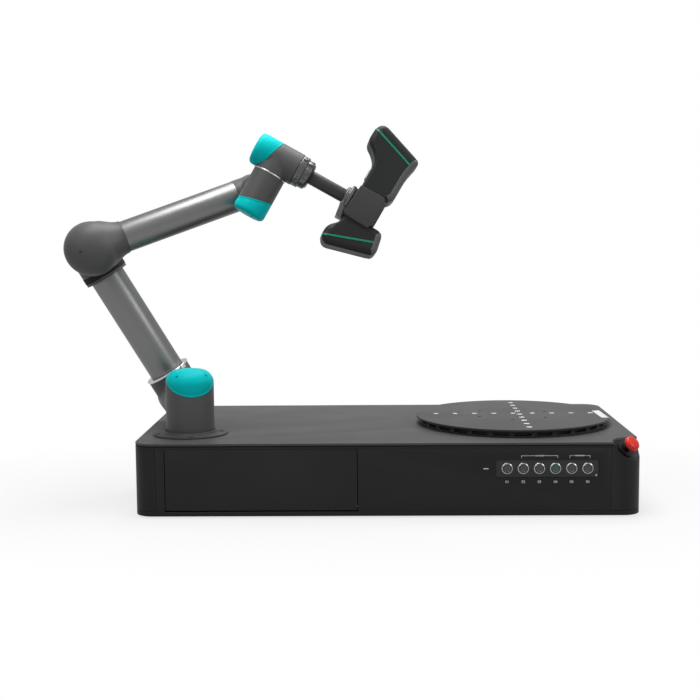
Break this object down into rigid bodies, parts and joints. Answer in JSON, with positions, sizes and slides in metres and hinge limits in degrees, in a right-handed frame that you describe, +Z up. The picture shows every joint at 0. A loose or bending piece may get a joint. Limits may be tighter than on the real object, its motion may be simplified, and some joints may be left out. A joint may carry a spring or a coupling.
{
  "type": "automated desktop 3d scanner with robot arm and turntable",
  "caption": "Desktop 3D scanning station: black cabinet, six-axis arm holding a hand-held scanner over a turntable, access flap, buttons and emergency stop.",
  "frame": {"origin": "centre of the base pan's underside, on the cabinet's two planes of symmetry, just above the desk", "axes": "+X along the cabinet from the arm towards the turntable, +Y from the front with the buttons to the back with the sockets, +Z up"},
  "size_m": [0.965, 0.4179, 0.6349],
  "materials": {
    "satin_black_metal": "satin",
    "dark_grey_metal": "satin",
    "foot_rubber": "matte",
    "bright_metal": "satin",
    "black_panel": "satin",
    "circuit_board": "matte",
    "black_plastic": "matte",
    "red_plastic": "gloss",
    "table_black": "satin",
    "hub_aluminium": "satin",
    "drive_casting": "matte",
    "port_metal": "satin",
    "zinc_sheet": "satin",
    "arm_housing_grey": "satin",
    "teal_cap": "satin",
    "silver_collar": "satin",
    "arm_tube_grey": "satin anodised",
    "flange_grey": "satin",
    "rod_black": "satin",
    "clamp_black": "matte",
    "scanner_charcoal": "matte",
    "light_green": "gloss",
    "window_glass": "gloss",
    "silver_plastic": "satin",
    "button_metal": "satin"
  },
  "bodies": {
    "cabinet": {"base_pan": "satin_black_metal", "left_end": "satin_black_metal", "right_end": "satin_black_metal", "top_frame": "satin_black_metal", "top_plate": "dark_grey_metal", "rubber_foot": "foot_rubber", "front_frame": "satin_black_metal", "flap_hinge_pin": "bright_metal", "button_panel": "black_panel", "button_board": "circuit_board", "estop_housing": "black_plastic", "turntable_base_ring": "dark_grey_metal", "turntable_drive": "drive_casting", "back_panel": "satin_black_metal", "socket_plate": "satin_black_metal", "power_inlet": "black_plastic", "data_ports": "port_metal", "controller_box": "zinc_sheet", "power_supply": "zinc_sheet", "arm_base_joint": "arm_housing_grey", "arm_flange_ring": "dark_grey_metal"},
    "flap": {"access_flap": "satin_black_metal"},
    "turntable": {"turntable_disc": "table_black", "turntable_hub": "hub_aluminium"},
    "push_button_1": {"button_1": "button_metal"},
    "push_button_2": {"button_2": "button_metal"},
    "push_button_3": {"button_3": "button_metal"},
    "push_button_4": {"button_4": "button_metal"},
    "push_button_5": {"button_5": "button_metal"},
    "push_button_6": {"button_6": "button_metal"},
    "stop_plunger": {"estop_stem": "black_plastic"},
    "stop_mushroom": {"estop_head": "red_plastic"},
    "rocker": {"power_rocker": "black_plastic"},
    "shoulder": {"shoulder_housing": "arm_housing_grey", "shoulder_cap": "teal_cap"},
    "upper_arm": {"upper_arm_lower_housing": "arm_housing_grey", "upper_arm_collar": "silver_collar", "upper_arm_tube": "arm_tube_grey", "upper_arm_upper_housing": "arm_housing_grey", "upper_arm_lower_cap": "teal_cap", "upper_arm_upper_cap": "teal_cap"},
    "forearm": {"elbow_housing": "arm_housing_grey", "forearm_tube": "arm_tube_grey", "forearm_end_housing": "arm_housing_grey", "forearm_end_cap": "teal_cap"},
    "wrist_1": {"wrist_1_housing": "arm_housing_grey", "wrist_1_ring": "silver_collar", "wrist_1_cap": "teal_cap"},
    "wrist_2": {"wrist_2_housing": "arm_housing_grey", "wrist_2_cap": "teal_cap"},
    "tool": {"tool_flange": "flange_grey", "tool_rod": "rod_black", "clamp_bracket": "rod_black", "clamp_block": "clamp_black", "scanner_body": "scanner_charcoal", "scanner_upper_light": "light_green", "scanner_lower_light": "light_green", "scanner_upper_window": "window_glass", "scanner_lower_window": "window_glass"},
    "trigger": {"scanner_trigger": "silver_plastic"}
  },
  "joints": [
    {"name": "flap_hinge", "type": "hinge", "parent": "cabinet", "child": "flap", "pos_m": [-0.2032, -0.203, 0.0186], "axis": [1, 0, 0], "range_deg": [0, 90]},
    {"name": "turntable_spin", "type": "hinge", "parent": "cabinet", "child": "turntable", "pos_m": [0.224, 0, 0.122], "axis": [0, 0, 1], "continuous": true},
    {"name": "button_1_press", "type": "slide", "parent": "cabinet", "child": "push_button_1", "axis": [0, 1, 0], "range_m": [0, 0.001], "stiffness_N_per_m": 250},
    {"name": "button_2_press", "type": "slide", "parent": "cabinet", "child": "push_button_2", "axis": [0, 1, 0], "range_m": [0, 0.001], "stiffness_N_per_m": 250},
    {"name": "button_3_press", "type": "slide", "parent": "cabinet", "child": "push_button_3", "axis": [0, 1, 0], "range_m": [0, 0.001], "stiffness_N_per_m": 250},
    {"name": "button_4_press", "type": "slide", "parent": "cabinet", "child": "push_button_4", "axis": [0, 1, 0], "range_m": [0, 0.001], "stiffness_N_per_m": 250},
    {"name": "button_5_press", "type": "slide", "parent": "cabinet", "child": "push_button_5", "axis": [0, 1, 0], "range_m": [0, 0.001], "stiffness_N_per_m": 250},
    {"name": "button_6_press", "type": "slide", "parent": "cabinet", "child": "push_button_6", "axis": [0, 1, 0], "range_m": [0, 0.001], "stiffness_N_per_m": 250},
    {"name": "stop_press", "type": "slide", "parent": "cabinet", "child": "stop_plunger", "axis": [-0.5014, 0.6217, -0.6017], "range_m": [0, 0.004]},
    {"name": "stop_twist", "type": "hinge", "parent": "stop_plunger", "child": "stop_mushroom", "pos_m": [0.395, -0.193, 0.117], "axis": [-0.5014, 0.6217, -0.6017], "range_deg": [0, 30], "stiffness_Nm_per_rad": 0.01},
    {"name": "power_rocker_tilt", "type": "hinge", "parent": "cabinet", "child": "rocker", "pos_m": [0.3175, 0.204, 0.052], "axis": [0, 0, 1], "range_deg": [0, 16]},
    {"name": "base_turn", "type": "hinge", "parent": "cabinet", "child": "shoulder", "pos_m": [-0.3305, -0.1055, 0.122], "axis": [0, 0, 1], "range_deg": [-165, 165]},
    {"name": "shoulder_lift", "type": "hinge", "parent": "shoulder", "child": "upper_arm", "pos_m": [-0.35531, -0.01899, 0.1736], "axis": [-0.2756, 0.9613, 0], "range_deg": [-45, 28]},
    {"name": "elbow_bend", "type": "hinge", "parent": "upper_arm", "child": "forearm", "pos_m": [-0.4837, -0.1307, 0.43488], "axis": [-0.2756, 0.9613, 0], "range_deg": [-95, 30]},
    {"name": "wrist_1_turn", "type": "hinge", "parent": "forearm", "child": "wrist_1", "pos_m": [-0.20288, -0.1126, 0.53176], "axis": [-0.2756, 0.9613, 0], "range_deg": [-95, 95]},
    {"name": "wrist_2_turn", "type": "hinge", "parent": "wrist_1", "child": "wrist_2", "pos_m": [-0.17617, -0.10494, 0.57934], "axis": [0.4848, 0.139, 0.8635], "range_deg": [-120, 120]},
    {"name": "tool_turn", "type": "hinge", "parent": "wrist_2", "child": "tool", "pos_m": [-0.17617, -0.10494, 0.57934], "axis": [0.8717, 0.0036, -0.49], "range_deg": [-170, 170]},
    {"name": "trigger_press", "type": "slide", "parent": "tool", "child": "trigger", "axis": [0.8624, -0.0005, -0.5063], "range_m": [0, 0.001], "stiffness_N_per_m": 250}
  ]
}
